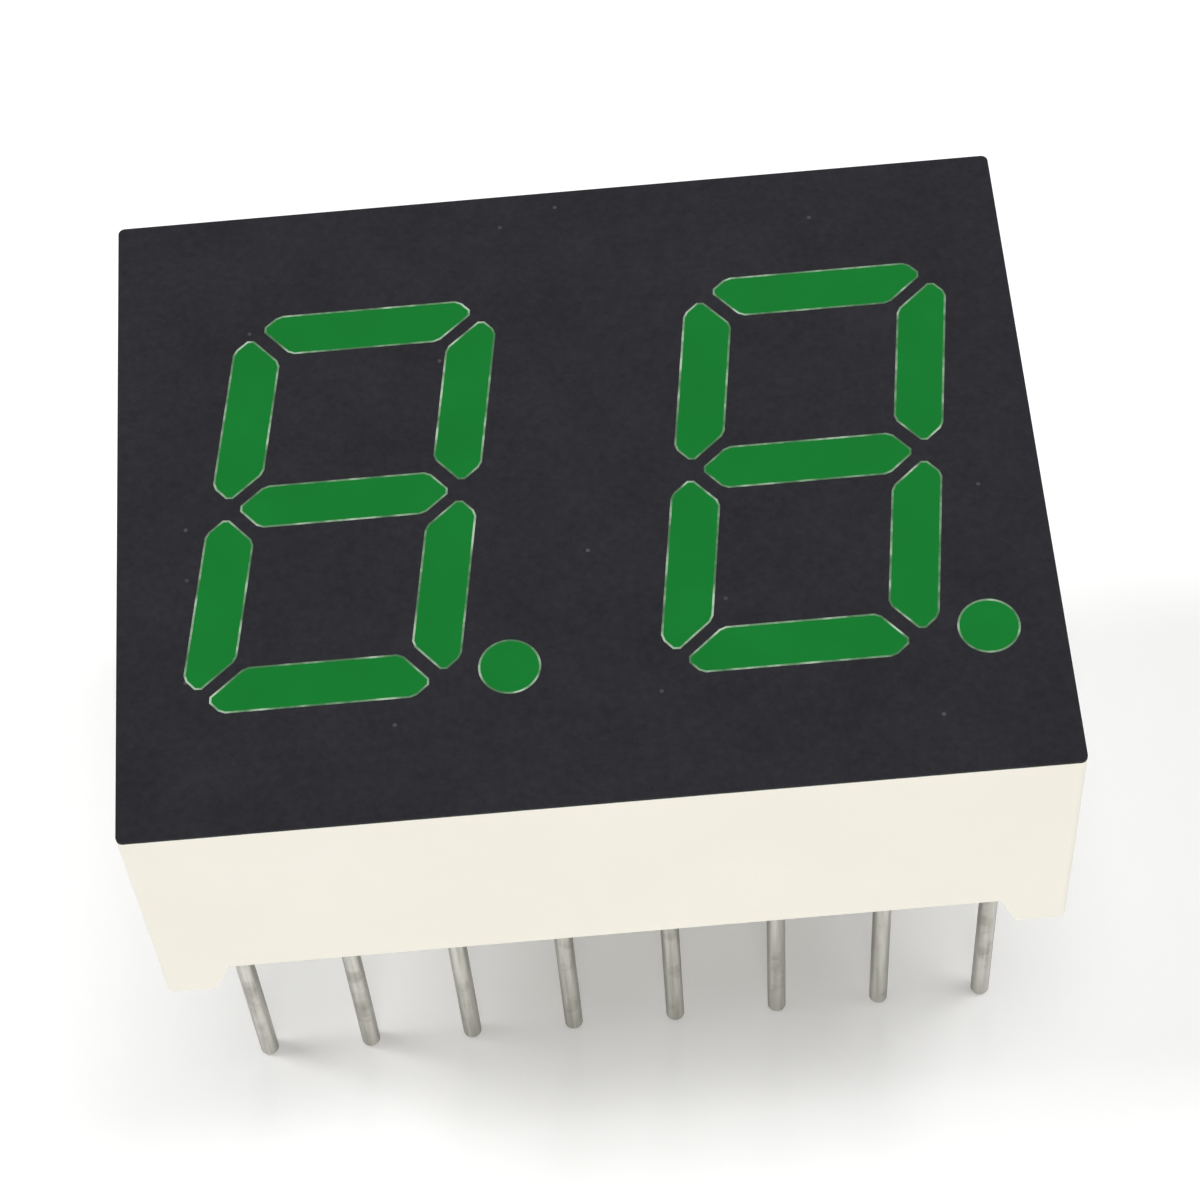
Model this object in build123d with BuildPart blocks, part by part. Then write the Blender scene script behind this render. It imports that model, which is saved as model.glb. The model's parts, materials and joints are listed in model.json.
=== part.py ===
from build123d import *
from math import atan2, degrees, radians, sqrt, tan
import os

# Two-digit seven-segment display, modelled as it is used on a board: face up, pins down.
# The origin is the middle of the pin pattern, on the plane that the four feet stand on.
# +X runs along the digits, +Y towards their tops and +Z out of the face. All lengths are millimetres.

# Pins, round wires with a square shank, on the usual grid
pin_pitch = 2.54
pin_span = 10.16
row_count = 2
pin_length = 9.5
pin_radius = 0.225
pin_tip_chamfer = 0.08
shank_size = 0.5

# Housing
face_width = 20.0
face_height = 16.0
body_depth = 7.0
corner_radius = 0.15
wall = 0.5
pocket_radius = 0.3
foot_height = 1.0
foot_length = 1.1
foot_slope = 0.4

# Dark mask on the face, with a pale lip of the housing showing round each window
mask_thickness = 0.06
lip_width = 0.045

# Digits, with the shares taken of the face's width
digit_height = 10.16
digit_width_share = 0.29
digit_pitch_share = 0.505
digit_slant_angle = 8.0
bar_width = 1.0
bar_gap = 0.375
corner_cut = 0.885
middle_inset = 0.63
tip_cut = 0.08

# Decimal points, placed from the right edge and the foot of their digit
point_radius = 0.62
point_offset = 0.45
point_drop = 0.11

# Light wells, each narrower by the inset on every side at the board than at the face
well_inset = 0.155

# Board, the least land beside its holes, its pads and the resin behind it
board_thickness = 0.8
board_clearance = 0.05
board_land = 0.2
pad_thickness = 0.035
die_pad_size = 0.4
wire_pad_size = 0.3
fill_recess = 0.25
fill_thickness = 0.55
meniscus_height = 0.12
meniscus_width = 0.2

# Chips and bond wires
die_size = 0.3
die_height = 0.25
wire_size = 0.06
wire_rise = 0.2
wire_bend = 0.12
bar_wire_span = 0.8
point_wire_span = 0.46

# Levels above the feet
shank_end = foot_height
fill_bottom = foot_height + fill_recess
board_bottom = fill_bottom + fill_thickness
board_top = board_bottom + board_thickness
die_top = board_top + die_height
wire_top = die_top + wire_rise
face_level = body_depth
mask_floor = face_level - mask_thickness

# Sizes that follow from the ones above
pocket_width = face_width - 2 * wall
pocket_height = face_height - 2 * wall
board_width = pocket_width - 2 * board_clearance
board_height = pocket_height - 2 * board_clearance
pins_per_row = int((board_width - shank_size - 2 * board_land) / pin_pitch) + 1
well_depth = face_level - board_top
draft_angle = degrees(atan2(well_inset, well_depth))
digit_width = face_width * digit_width_share
digit_pitch = face_width * digit_pitch_share

# Outlines of the bars in an upright digit, about its middle
half_height = digit_height / 2
half_width = digit_width / 2
gap_step = bar_gap / sqrt(2)
near_cut = (corner_cut - gap_step) / 2
far_cut = (corner_cut + gap_step) / 2

top_inner = half_width - bar_width - gap_step
top_bar = [
    (-top_inner, half_height - bar_width),
    (top_inner, half_height - bar_width),
    (half_width - far_cut, half_height - near_cut),
    (half_width - corner_cut, half_height),
    (corner_cut - half_width, half_height),
    (far_cut - half_width, half_height - near_cut),
]

side_inner = half_width - bar_width
middle_reach = half_width - middle_inset
side_bar = [
    (half_width, middle_inset),
    (half_width, half_height - corner_cut),
    (half_width - near_cut, half_height - far_cut),
    (side_inner, half_height - bar_width - gap_step),
    (side_inner, middle_reach + 2 * gap_step - side_inner),
    (middle_reach + gap_step, gap_step),
]

middle_inner = middle_reach - bar_width / 2
middle_bar = [
    (-middle_reach, 0),
    (-middle_inner, -bar_width / 2),
    (middle_inner, -bar_width / 2),
    (middle_reach, 0),
    (middle_inner, bar_width / 2),
    (-middle_inner, bar_width / 2),
]

# Each bar is one of the three outlines, turned over sideways or upside down
bars = {
    "a": (top_bar, 1, 1),
    "b": (side_bar, 1, 1),
    "c": (side_bar, 1, -1),
    "d": (top_bar, 1, -1),
    "e": (side_bar, -1, -1),
    "f": (side_bar, -1, 1),
    "g": (middle_bar, 1, 1),
}
digits = {"left": -digit_pitch / 2, "right": digit_pitch / 2}
slant = tan(radians(digit_slant_angle))
point_reach = half_width + point_offset
point_height = point_radius - half_height - point_drop


def place(outline, digit_x, side, end):
    """Puts an upright outline into a digit, turned over and slanted."""
    turned = [(x * side, y * end) for x, y in outline]
    return [(digit_x + x + y * slant, y) for x, y in turned]


def middle(points):
    """Gives the middle of an outline's extent."""
    across = [x for x, y in points]
    along = [y for x, y in points]
    return ((min(across) + max(across)) / 2, (min(along) + max(along)) / 2)


def bar_well(points):
    """Makes the tapered space of a bar, from the face down to the board."""
    with BuildPart() as well:
        with BuildSketch(Plane.XY.offset(face_level)):
            with BuildLine():
                Polyline(*points, close=True)
            make_face()
        extrude(amount=-well_depth)
        draft(well.faces().filter_by(Axis.Z, reverse=True), Plane.XY.offset(face_level), -draft_angle)
        corners = well.edges().filter_by_position(Axis.Z, board_top, face_level, inclusive=(False, False))
        chamfer(corners, tip_cut)
    return well.part


def point_well(centre):
    """Makes the tapered space of a decimal point."""
    with BuildPart() as well:
        with BuildSketch(Plane.XY.offset(face_level)):
            with Locations(centre):
                Circle(point_radius)
        extrude(amount=-well_depth)
        draft(well.faces().filter_by(Axis.Z, reverse=True), Plane.XY.offset(face_level), -draft_angle)
    return well.part


def seat(centre, heading, reach):
    """Gives the plane on the board that lies along the heading, the given reach from the centre."""
    frame = Plane(origin=(centre[0], centre[1], board_top), x_dir=heading, z_dir=(0, 0, 1))
    return frame.shift_origin(frame.from_local_coords((reach, 0, 0)))


def block(plane, size, height):
    """Makes a square block that stands on a plane, or hangs from it where the height is below zero."""
    with BuildPart() as body:
        with BuildSketch(plane):
            Rectangle(size, size)
        extrude(amount=height)
    return body.part


def wire_loop(centre, heading, span):
    """Makes the bond wire that rises from a chip, runs over and comes down on the board."""
    side = Plane(origin=(centre[0], centre[1], 0), x_dir=heading, z_dir=Vector(heading).cross(Vector(0, 0, 1)))
    outer = (span + wire_size) / 2
    inner = (span - wire_size) / 2
    under = wire_top - wire_size
    with BuildPart() as wire:
        with BuildSketch(side):
            with BuildLine():
                Polyline(
                    (-outer, die_top),
                    (wire_bend - outer, wire_top),
                    (outer - wire_bend, wire_top),
                    (outer, board_top),
                    (inner, board_top),
                    (inner - wire_bend, under),
                    (wire_bend - inner, under),
                    (-inner, die_top),
                    close=True,
                )
            make_face()
        extrude(amount=wire_size / 2, both=True)
    return wire.part


# Wells, with the place, heading and span of the wire in each one
bar_outlines = []
point_centres = []
wells = {}
lights = {}
for digit, digit_x in digits.items():
    for letter, (outline, side, end) in bars.items():
        name = f"{digit}_segment_{letter}"
        points = place(outline, digit_x, side, end)
        heading = (slant, 1, 0) if outline is side_bar else (1, 0, 0)
        bar_outlines.append(points)
        wells[name] = bar_well(points)
        lights[name] = (middle(points), heading, bar_wire_span)
    name = f"{digit}_point"
    centre = (digit_x + point_reach, point_height)
    point_centres.append(centre)
    wells[name] = point_well(centre)
    lights[name] = (centre, (1, 0, 0), point_wire_span)

os.makedirs("parts", exist_ok=True)

# Face mask, a thin plate with a window round each well
with BuildPart() as face_mask:
    with BuildSketch(Plane.XY.offset(mask_floor)):
        RectangleRounded(face_width, face_height, corner_radius)
    extrude(amount=mask_thickness)
    with BuildSketch(Plane.XY.offset(mask_floor)) as bar_windows:
        for points in bar_outlines:
            with BuildLine():
                Polyline(*points, close=True)
            make_face()
        chamfer(bar_windows.vertices(), tip_cut)
        offset(amount=lip_width, kind=Kind.INTERSECTION)
    extrude(amount=mask_thickness, mode=Mode.SUBTRACT)
    with BuildSketch(Plane.XY.offset(mask_floor)):
        with Locations(*point_centres):
            Circle(point_radius + lip_width)
    extrude(amount=mask_thickness, mode=Mode.SUBTRACT)
face_mask.part.label = "face_mask"
export_step(face_mask.part, "parts/face_mask.step")

# Housing, a reflector block with the board pocket behind it and feet left between the notches of its rim
with BuildPart() as housing:
    with BuildSketch(Plane.XY):
        RectangleRounded(face_width, face_height, corner_radius)
    extrude(amount=face_level)
    with BuildSketch(Plane.XY):
        RectangleRounded(pocket_width, pocket_height, pocket_radius)
    extrude(amount=board_top, mode=Mode.SUBTRACT)
    for notch_plane, length in ((Plane.XZ, face_width), (Plane.YZ, face_height)):
        foot_end = length / 2 - foot_length
        with BuildSketch(notch_plane):
            with BuildLine():
                Polyline(
                    (-foot_end, 0),
                    (foot_end, 0),
                    (foot_end - foot_slope, foot_height),
                    (foot_slope - foot_end, foot_height),
                    close=True,
                )
            make_face()
        extrude(amount=face_width, both=True, mode=Mode.SUBTRACT)
    add([face_mask.part, *wells.values()], mode=Mode.SUBTRACT)
housing.part.label = "housing"
export_step(housing.part, "parts/housing.step")

# Chips, wires and pads, and the light guide that fills each well over them
wires = []
pads = []
for name, (centre, heading, span) in lights.items():
    chip_seat = seat(centre, heading, -span / 2)
    die = block(chip_seat, die_size, die_height)
    die.label = name.replace("segment", "die").replace("_point", "_die_point")
    export_step(die, f"parts/{die.label}.step")
    wire = wire_loop(centre, heading, span)
    wires.append(wire)
    pads.append(block(chip_seat, die_pad_size, -pad_thickness))
    pads.append(block(seat(centre, heading, span / 2), wire_pad_size, -pad_thickness))
    with BuildPart() as light_guide:
        add(wells[name])
        add([die, wire], mode=Mode.SUBTRACT)
    light_guide.part.label = name
    export_step(light_guide.part, f"parts/{name}.step")

with BuildPart() as bond_wires:
    add(wires)
bond_wires.part.label = "bond_wires"
export_step(bond_wires.part, "parts/bond_wires.step")

with BuildPart() as contact_pads:
    add(pads)
contact_pads.part.label = "contact_pads"
export_step(contact_pads.part, "parts/contact_pads.step")

# Board, with its pads let in flush and a hole that grips the shank of each pin
with BuildPart() as circuit_board:
    with BuildSketch(Plane.XY.offset(board_bottom)):
        RectangleRounded(board_width, board_height, pocket_radius)
        with GridLocations(pin_pitch, pin_span, pins_per_row, row_count):
            Rectangle(shank_size, shank_size, mode=Mode.SUBTRACT)
    extrude(amount=board_thickness)
    add(contact_pads.part, mode=Mode.SUBTRACT)
circuit_board.part.label = "circuit_board"
export_step(circuit_board.part, "parts/circuit_board.step")

# Resin behind the board, which climbs the walls of the pocket a little
with BuildPart() as back_fill:
    with BuildSketch(Plane.XY.offset(board_bottom)):
        RectangleRounded(pocket_width, pocket_height, pocket_radius)
    extrude(amount=-fill_thickness - meniscus_height)
    with BuildSketch(Plane.XY.offset(fill_bottom - meniscus_height)):
        RectangleRounded(pocket_width, pocket_height, pocket_radius)
    extrude(amount=meniscus_height, taper=degrees(atan2(meniscus_width, meniscus_height)), mode=Mode.SUBTRACT)
    with BuildSketch(Plane.XY.offset(fill_bottom)):
        with GridLocations(pin_pitch, pin_span, pins_per_row, row_count):
            Rectangle(shank_size, shank_size)
    extrude(amount=fill_thickness, mode=Mode.SUBTRACT)
back_fill.part.label = "back_fill"
export_step(back_fill.part, "parts/back_fill.step")

# Pins, numbered along the lower row and back along the upper one, flush with the top of the board
row_places = [(number - (pins_per_row - 1) / 2) * pin_pitch for number in range(pins_per_row)]
pin_places = [(x, -pin_span / 2) for x in row_places]
pin_places += [(x, pin_span / 2) for x in reversed(row_places)]
for number, (x, y) in enumerate(pin_places, start=1):
    with BuildPart() as pin:
        with BuildSketch(Plane.XY.offset(shank_end)):
            with Locations((x, y)):
                Rectangle(shank_size, shank_size)
        extrude(amount=board_top - shank_end)
        with BuildSketch(Plane.XY.offset(shank_end)):
            with Locations((x, y)):
                Circle(pin_radius)
        extrude(amount=-shank_end - pin_length)
        chamfer(pin.edges().group_by(Axis.Z)[0], pin_tip_chamfer)
    pin.part.label = f"pin_{number:02d}"
    export_step(pin.part, f"parts/{pin.part.label}.step")
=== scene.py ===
import json
import math

import bpy
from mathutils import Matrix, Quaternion, Vector


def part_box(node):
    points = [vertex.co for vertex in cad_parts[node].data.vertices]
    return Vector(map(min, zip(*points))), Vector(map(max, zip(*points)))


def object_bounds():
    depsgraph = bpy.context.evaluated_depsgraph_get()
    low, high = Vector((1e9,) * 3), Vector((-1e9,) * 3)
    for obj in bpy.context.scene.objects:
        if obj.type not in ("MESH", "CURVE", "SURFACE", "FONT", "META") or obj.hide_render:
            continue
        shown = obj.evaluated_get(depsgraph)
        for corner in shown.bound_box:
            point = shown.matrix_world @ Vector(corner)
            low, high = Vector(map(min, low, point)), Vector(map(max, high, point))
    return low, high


# Looks of the two-digit display. The frame is in metres, and these lengths are too.
MM = 0.001
WHITE = (1, 1, 1, 1)

# Camera, with its roll in degrees, and its lens and sensor in millimetres
camera_place = (0.502 * MM, -41.836 * MM, 68.536 * MM)
camera_aim = (0.296 * MM, -0.917 * MM, 3.5 * MM)
camera_roll = -5.129
camera_lens = 102.78
camera_sensor = 36.0
camera_near = 1.0 * MM
camera_far = 10.0

# Light: the level is what a surface that faces the lamp gets, and angles are in degrees.
# An azimuth of 0 is in front of the object and one of 90 to its right.
sky_level = 0.12
sky_seen_level = 1.0
lamps = {
    "top_lamp": {"level": 0.26, "azimuth": 0.0, "elevation": 80.0, "spread": 20.0},
    "left_lamp": {"level": 0.32, "azimuth": -100.0, "elevation": 58.0, "spread": 20.0},
    "right_lamp": {"level": 0.27, "azimuth": 92.0, "elevation": 73.0, "spread": 20.0},
    "front_lamp": {"level": 0.41, "azimuth": 0.0, "elevation": 8.0, "spread": 20.0},
    "back_lamp": {"level": 0.2, "azimuth": 175.0, "elevation": 8.0, "spread": 20.0},
}

# Patterns: clouds, stains, grain, streaks and dust are counted by how many lie along a millimetre.
# Shades are colours, each at its place in a pattern that goes from 0 to 1.
plain_detail = 4.0
stain_detail = 3.0
grain_detail = 2.0
plain_fine_share = 0.55

# Floor, and the part of its white that doesn't depend on the light
floor_size = 4.0
floor_glow = 0.16
floor_clouds = 0.05
floor_shades = [(0.3, (0.955, 0.955, 0.955)), (0.7, (0.97, 0.97, 0.97))]
floor_roughness = 0.9

# White moulded plastic of the housing, satin
housing_clouds = 0.25
housing_shades = [(0.3, (0.875, 0.835, 0.735)), (0.7, (0.9, 0.86, 0.765))]
housing_roughness = (0.42, 0.55)
housing_specular = 0.3
housing_grain = 9.0
housing_grain_height = 0.003 * MM

# Lips of the housing round the windows, tinted by the resin
lip_stains = 1.6
lip_shades = [(0.4, (0.045, 0.14, 0.055)), (0.52, (0.15, 0.27, 0.155)), (0.66, (0.42, 0.55, 0.42))]
lip_margin = 0.01 * MM

# Dark printed mask, matte and grainy
mask_clouds = 0.5
mask_cloud_detail = 8.0
mask_cloud_fine_share = 0.72
mask_shades = [(0.38, (0.0112, 0.0108, 0.0138)), (0.62, (0.0206, 0.0202, 0.0256))]
mask_roughness = (0.5, 0.62)
mask_specular = 0.1
mask_grain = 6.5
mask_grain_fine_share = 0.65
mask_grain_height = 0.003 * MM

# Pale specks of dust on the mask, in a share of the cells of a grid
dust_cells = 0.7
dust_share = 0.14
dust_radius = 0.045 * MM
dust_clouds = 2.0
dust_shades = [(0.3, (0.035, 0.035, 0.039)), (0.7, (0.085, 0.085, 0.09))]

# Tinned wire of the pins, with streaks drawn along it
pin_streaks = 7.0
pin_streak_stretch = (1, 1, 0.04)
pin_streak_height = 0.006 * MM
pin_bright_shades = [(0.35, (0.46, 0.45, 0.4)), (0.6, (0.64, 0.63, 0.58))]
# Colours of the stains, also used for the painted shade on the pins' flanks and near their tips
pin_stain_and_shade_shades = [(0.35, (0.2, 0.19, 0.165)), (0.65, (0.38, 0.365, 0.325))]
pin_roughness = (0.26, 0.4)

# Where the pins are darker: painted shade on their flanks and near their tips, and stains in patches
pin_flank_shade_range = (0.55, 0.98)
pin_tip_shade_length = 1.6 * MM
pin_tip_shade_level = 0.45
pin_stains = 0.9
pin_patch_range = (0.5, 0.68)
pin_patch_dullness = 0.7

# Materials of one colour that varies a little: the segments' resin, and the pieces inside and behind
mottled_dark_place = 0.3
mottled_light_place = 0.7
mottled_materials = {
    "segment_green": {
        "colour": (0.003, 0.178, 0.0232),
        "change": 0.04,
        "clouds": 0.6,
        "roughness": (0.38, 0.5),
        "grain": 5.0,
        "grain_height": 0.002 * MM,
        "specular": 0.1,
    },
    "board_laminate": {
        "colour": (0.42, 0.36, 0.17),
        "change": 0.08,
        "clouds": 2.0,
        "roughness": (0.5, 0.65),
        "grain": 8.0,
        "grain_height": 0.004 * MM,
    },
    "pad_copper": {
        "colour": (0.83, 0.6, 0.3),
        "change": 0.06,
        "clouds": 4.0,
        "roughness": (0.25, 0.4),
        "grain": 20.0,
        "grain_height": 0.001 * MM,
        "metallic": 1.0,
    },
    "die_crystal": {
        "colour": (0.45, 0.5, 0.12),
        "change": 0.05,
        "clouds": 6.0,
        "roughness": (0.2, 0.3),
        "grain": 30.0,
        "grain_height": 0.001 * MM,
    },
    "wire_gold": {
        "colour": (0.9, 0.66, 0.25),
        "change": 0.04,
        "clouds": 8.0,
        "roughness": (0.2, 0.3),
        "grain": 30.0,
        "grain_height": 0.001 * MM,
        "metallic": 1.0,
    },
    "fill_resin": {
        "colour": (0.62, 0.6, 0.53),
        "change": 0.06,
        "clouds": 0.35,
        "roughness": (0.15, 0.28),
        "grain": 1.2,
        "grain_height": 0.01 * MM,
    },
}

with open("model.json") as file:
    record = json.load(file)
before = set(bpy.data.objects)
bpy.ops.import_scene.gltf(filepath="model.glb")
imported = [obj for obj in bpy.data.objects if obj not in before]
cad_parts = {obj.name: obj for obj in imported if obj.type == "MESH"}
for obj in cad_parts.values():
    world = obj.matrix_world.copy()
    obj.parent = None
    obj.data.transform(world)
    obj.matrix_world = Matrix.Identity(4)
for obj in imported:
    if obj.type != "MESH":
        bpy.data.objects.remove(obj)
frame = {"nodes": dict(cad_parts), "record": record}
nodes = frame["nodes"]
cad_low, cad_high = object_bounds()


class Shader:
    """A new node material with one principled shader, and short ways to add nodes to it."""

    def __init__(self, name):
        self.material = bpy.data.materials.new(name)
        self.material.use_nodes = True
        self.tree = self.material.node_tree
        self.tree.nodes.clear()
        self.output = self.node("ShaderNodeOutputMaterial")
        self.main = self.node("ShaderNodeBsdfPrincipled")
        self.link(self.main.outputs["BSDF"], self.output.inputs["Surface"])
        coordinates = self.node("ShaderNodeTexCoord")
        self.place = coordinates.outputs["Object"]
        self.facings = coordinates.outputs["Normal"]

    def node(self, kind):
        return self.tree.nodes.new(kind)

    def link(self, source, target):
        self.tree.links.new(source, target)

    def set(self, **values):
        """Sets plain values on the principled shader's own sockets."""
        for name, value in values.items():
            self.main.inputs[name.replace("_", " ")].default_value = value

    def noise(self, per_mm, detail=plain_detail, fine_share=plain_fine_share, stretch=(1, 1, 1)):
        """A noise pattern with so many features along a millimetre, and finer ones in them."""
        mapping = self.node("ShaderNodeMapping")
        mapping.inputs["Scale"].default_value = stretch
        self.link(self.place, mapping.inputs["Vector"])
        pattern = self.node("ShaderNodeTexNoise")
        pattern.inputs["Scale"].default_value = per_mm / MM
        pattern.inputs["Detail"].default_value = detail
        pattern.inputs["Roughness"].default_value = fine_share
        self.link(mapping.outputs["Vector"], pattern.inputs["Vector"])
        return pattern.outputs["Fac"]

    def specks(self, per_mm, share, radius):
        """1 in round specks on a flat face, one in each of a share of the cells of a grid."""
        cells = self.node("ShaderNodeTexVoronoi")
        cells.voronoi_dimensions = "2D"
        cells.inputs["Scale"].default_value = per_mm / MM
        self.link(self.place, cells.inputs["Vector"])
        near = self.math("LESS_THAN", cells.outputs["Distance"], radius * per_mm / MM)
        split = self.node("ShaderNodeSeparateColor")
        self.link(cells.outputs["Color"], split.inputs["Color"])
        chosen = self.math("LESS_THAN", split.outputs["Red"], share)
        return self.math("MULTIPLY", near, chosen)

    def along(self, axis, vector):
        """How far a vector goes along an axis."""
        split = self.node("ShaderNodeSeparateXYZ")
        self.link(vector, split.inputs["Vector"])
        return split.outputs[axis]

    def height(self):
        """The height of each place on the surface."""
        return self.along("Z", self.place)

    def above(self, level):
        """1 where the surface is above a level, and 0 below it."""
        return self.math("GREATER_THAN", self.height(), level)

    def facing(self, axis):
        """1 where the surface faces one way or the other along an axis, and 0 where it runs along it."""
        return self.math("ABSOLUTE", self.along(axis, self.facings))

    def math(self, operation, *values):
        """Works on one number or two, each a pattern or a plain value."""
        node = self.node("ShaderNodeMath")
        node.operation = operation
        for socket, value in zip(node.inputs, values):
            if isinstance(value, (int, float)):
                socket.default_value = value
            else:
                self.link(value, socket)
        return node.outputs["Value"]

    def spread(self, source, low, high, start=0.0, end=1.0):
        """Maps a pattern that goes from start to end to numbers from low to high."""
        node = self.node("ShaderNodeMapRange")
        node.inputs["From Min"].default_value = start
        node.inputs["From Max"].default_value = end
        node.inputs["To Min"].default_value = low
        node.inputs["To Max"].default_value = high
        self.link(source, node.inputs["Value"])
        return node.outputs["Result"]

    def ramp(self, source, shades):
        """Maps a pattern to colours; each shade is a place and a colour."""
        node = self.node("ShaderNodeValToRGB")
        stops = node.color_ramp.elements
        for index, (place, colour) in enumerate(shades):
            stop = stops[index] if index < len(stops) else stops.new(place)
            stop.position = place
            stop.color = (*colour, 1)
        self.link(source, node.inputs["Fac"])
        return node.outputs["Color"]

    def mix(self, factor, first, second):
        """Goes from the first colour to the second as the factor goes from 0 to 1."""
        node = self.node("ShaderNodeMixRGB")
        self.link(factor, node.inputs["Fac"])
        self.link(first, node.inputs["Color1"])
        self.link(second, node.inputs["Color2"])
        return node.outputs["Color"]

    def colour(self, source):
        """Lets the colour follow a pattern."""
        self.link(source, self.main.inputs["Base Color"])

    def roughness(self, pattern, limits):
        """Lets the roughness follow a pattern between two limits."""
        self.link(self.spread(pattern, *limits), self.main.inputs["Roughness"])

    def bump(self, pattern, height):
        """Lets the surface rise and fall with a pattern."""
        node = self.node("ShaderNodeBump")
        node.inputs["Strength"].default_value = 1.0
        node.inputs["Distance"].default_value = height
        self.link(pattern, node.inputs["Height"])
        self.link(node.outputs["Normal"], self.main.inputs["Normal"])


def tint(colour, factor):
    """A colour made lighter or darker."""
    return tuple(min(channel * factor, 1.0) for channel in colour)


def mottled(name, colour, change, clouds, roughness, grain, grain_height, specular=0.5, metallic=0.0):
    """A material whose colour, gloss and surface vary a little from place to place."""
    shader = Shader(name)
    pattern = shader.noise(clouds)
    dark = (mottled_dark_place, tint(colour, 1 - change))
    light = (mottled_light_place, tint(colour, 1 + change))
    shader.colour(shader.ramp(pattern, [dark, light]))
    shader.roughness(pattern, roughness)
    shader.bump(shader.noise(grain, grain_detail), grain_height)
    shader.set(Specular_IOR_Level=specular, Metallic=metallic)
    return shader


def housing_white():
    """Moulded plastic, with the lips that come up through the mask tinted by the resin."""
    shader = Shader("housing_white")
    clouds = shader.noise(housing_clouds)
    plain = shader.ramp(clouds, housing_shades)
    tinted = shader.ramp(shader.noise(lip_stains, stain_detail), lip_shades)
    lip_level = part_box("face_mask")[0].z - lip_margin
    shader.colour(shader.mix(shader.above(lip_level), plain, tinted))
    shader.roughness(clouds, housing_roughness)
    shader.bump(shader.noise(housing_grain, grain_detail), housing_grain_height)
    shader.set(Specular_IOR_Level=housing_specular)
    return shader


def mask_dark():
    """Printed ink, mottled by clouds and grain in equal parts, with a few specks of dust."""
    shader = Shader("mask_dark")
    clouds = shader.noise(mask_clouds, mask_cloud_detail, mask_cloud_fine_share)
    grain = shader.noise(mask_grain, stain_detail, mask_grain_fine_share)
    mean = shader.math("MULTIPLY", shader.math("ADD", clouds, grain), 0.5)
    ink = shader.ramp(mean, mask_shades)
    dust = shader.ramp(shader.noise(dust_clouds), dust_shades)
    shader.colour(shader.mix(shader.specks(dust_cells, dust_share, dust_radius), ink, dust))
    shader.roughness(clouds, mask_roughness)
    shader.bump(grain, mask_grain_height)
    shader.set(Specular_IOR_Level=mask_specular)
    return shader


def pin_tin():
    """Drawn wire with painted shade on its flanks and near its tip, and stains in patches."""
    shader = Shader("pin_tin")
    streaks = shader.noise(pin_streaks, stain_detail, stretch=pin_streak_stretch)
    stains = shader.noise(pin_stains)
    # Painted shade: the round wire is darker on its flanks, where it faces sideways
    painted_flank_shade = shader.spread(shader.facing("X"), 0, 1, *pin_flank_shade_range)
    # Painted shade: darker towards the tips, where the pins stand on the floor
    painted_tip_shade = shader.spread(shader.height(), pin_tip_shade_level, 0, cad_low.z, cad_low.z + pin_tip_shade_length)
    patches = shader.spread(stains, 0, pin_patch_dullness, *pin_patch_range)
    # Stains in patches, together with the painted shade on the flanks and near the tips
    stain_and_shade = shader.math("MAXIMUM", shader.math("MAXIMUM", painted_flank_shade, painted_tip_shade), patches)
    bright = shader.ramp(streaks, pin_bright_shades)
    stain_and_shade_colour = shader.ramp(streaks, pin_stain_and_shade_shades)
    shader.colour(shader.mix(stain_and_shade, bright, stain_and_shade_colour))
    shader.roughness(stains, pin_roughness)
    shader.bump(streaks, pin_streak_height)
    shader.set(Metallic=1.0)
    return shader


def seen_or_mirrored(tree):
    """1 for what the camera, gloss or glass shows, and 0 for the light that falls on the object."""
    path = tree.nodes.new("ShaderNodeLightPath").outputs
    seen = path["Is Camera Ray"]
    for kind in ("Is Glossy Ray", "Is Transmission Ray"):
        either = tree.nodes.new("ShaderNodeMath")
        either.operation = "MAXIMUM"
        tree.links.new(seen, either.inputs[0])
        tree.links.new(path[kind], either.inputs[1])
        seen = either.outputs["Value"]
    return seen


def floor_paper():
    """White paper, a little whiter where it is seen or mirrored, and clear to the camera from below."""
    shader = Shader("floor_paper")
    shader.colour(shader.ramp(shader.noise(floor_clouds), floor_shades))
    shader.set(Roughness=floor_roughness, Specular_IOR_Level=0.0, Emission_Color=WHITE)
    glow = shader.math("MULTIPLY", seen_or_mirrored(shader.tree), floor_glow)
    shader.link(glow, shader.main.inputs["Emission Strength"])
    underside = shader.node("ShaderNodeNewGeometry").outputs["Backfacing"]
    camera_rays = shader.node("ShaderNodeLightPath").outputs["Is Camera Ray"]
    clear = shader.node("ShaderNodeBsdfTransparent")
    paper_or_clear = shader.node("ShaderNodeMixShader")
    shader.link(shader.math("MULTIPLY", underside, camera_rays), paper_or_clear.inputs["Fac"])
    shader.link(shader.main.outputs["BSDF"], paper_or_clear.inputs[1])
    shader.link(clear.outputs["BSDF"], paper_or_clear.inputs[2])
    shader.link(paper_or_clear.outputs["Shader"], shader.output.inputs["Surface"])
    return shader


def white_sky(tree, level):
    """A white sky of a set level."""
    background = tree.nodes.new("ShaderNodeBackground")
    background.inputs["Color"].default_value = WHITE
    background.inputs["Strength"].default_value = level
    return background.outputs["Background"]


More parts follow.
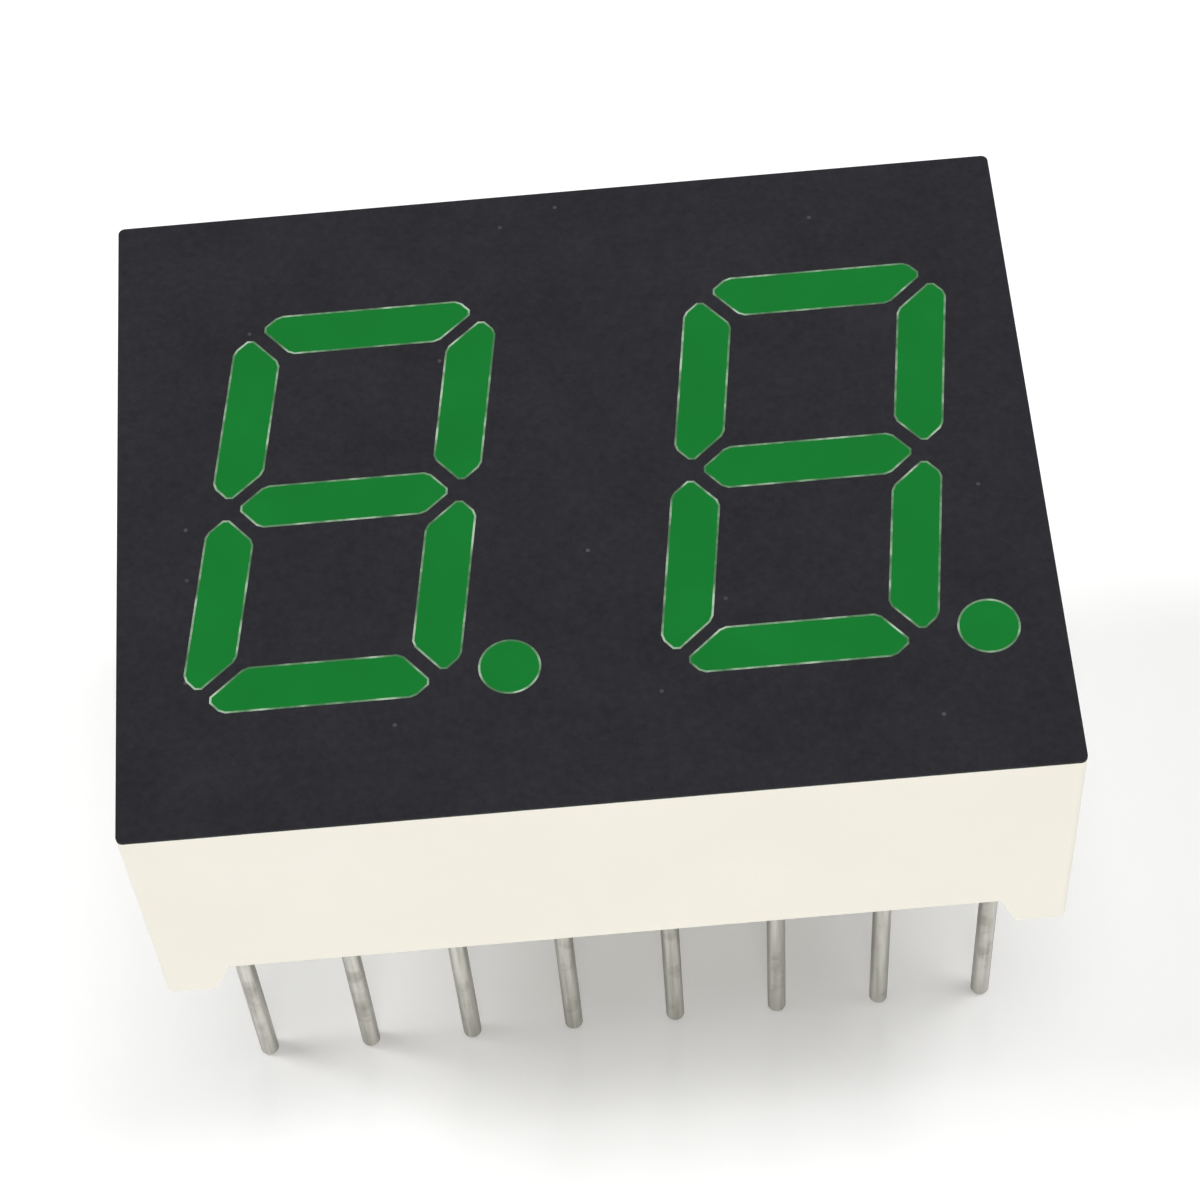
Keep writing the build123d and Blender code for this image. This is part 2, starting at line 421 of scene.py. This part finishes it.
def soft_lamp(name, level, azimuth, elevation, spread):
    """A broad lamp, far off."""
    lamp = bpy.data.lights.new(name, "SUN")
    lamp.energy = math.pi * level
    lamp.angle = math.radians(spread)
    around = math.radians(azimuth)
    above = math.radians(elevation)
    out = math.cos(above)
    towards = Vector((math.sin(around) * out, -math.cos(around) * out, math.sin(above)))
    lamp_object = bpy.data.objects.new(name, lamp)
    lamp_object.rotation_euler = towards.to_track_quat("Z", "Y").to_euler()
    bpy.context.scene.collection.objects.link(lamp_object)


# Each node of the frame gets the material of its slot
shaders = {"housing_white": housing_white(), "mask_dark": mask_dark(), "pin_tin": pin_tin()}
for material_name, material_values in mottled_materials.items():
    shaders[material_name] = mottled(material_name, **material_values)
for subpart in frame["record"]["subparts"]:
    mesh = nodes[subpart["node"]].data
    mesh.materials.clear()
    mesh.materials.append(shaders[subpart["material_slot"]].material)

# Floor under the tips of the pins
bpy.ops.mesh.primitive_plane_add(size=floor_size, location=(0, 0, cad_low.z))
floor = bpy.context.object
floor.name = "floor"
floor.data.materials.append(floor_paper().material)

# Sky, white where it is seen or mirrored and dimmer where it lights the object
world = bpy.data.worlds.new("studio")
bpy.context.scene.world = world
world.use_nodes = True
sky = world.node_tree
sky.nodes.clear()
sky_mix = sky.nodes.new("ShaderNodeMixShader")
sky_output = sky.nodes.new("ShaderNodeOutputWorld")
sky.links.new(seen_or_mirrored(sky), sky_mix.inputs["Fac"])
sky.links.new(white_sky(sky, sky_level), sky_mix.inputs[1])
sky.links.new(white_sky(sky, sky_seen_level), sky_mix.inputs[2])
sky.links.new(sky_mix.outputs["Shader"], sky_output.inputs["Surface"])

# Soft lamps over, beside, in front of and behind the object
for lamp_name, lamp_values in lamps.items():
    soft_lamp(lamp_name, **lamp_values)

# Camera, at the photograph's angle
camera = bpy.data.cameras.new("camera")
camera.lens = camera_lens
camera.sensor_width = camera_sensor
camera.clip_start = camera_near
camera.clip_end = camera_far
camera_object = bpy.data.objects.new("camera", camera)
bpy.context.scene.collection.objects.link(camera_object)
look = (Vector(camera_aim) - Vector(camera_place)).to_track_quat("-Z", "Y")
camera_object.rotation_mode = "QUATERNION"
camera_object.rotation_quaternion = look @ Quaternion((0, 0, 1), math.radians(camera_roll))
camera_object.location = camera_place
bpy.context.scene.camera = camera_object

bpy.context.scene.view_settings.view_transform = "Standard"
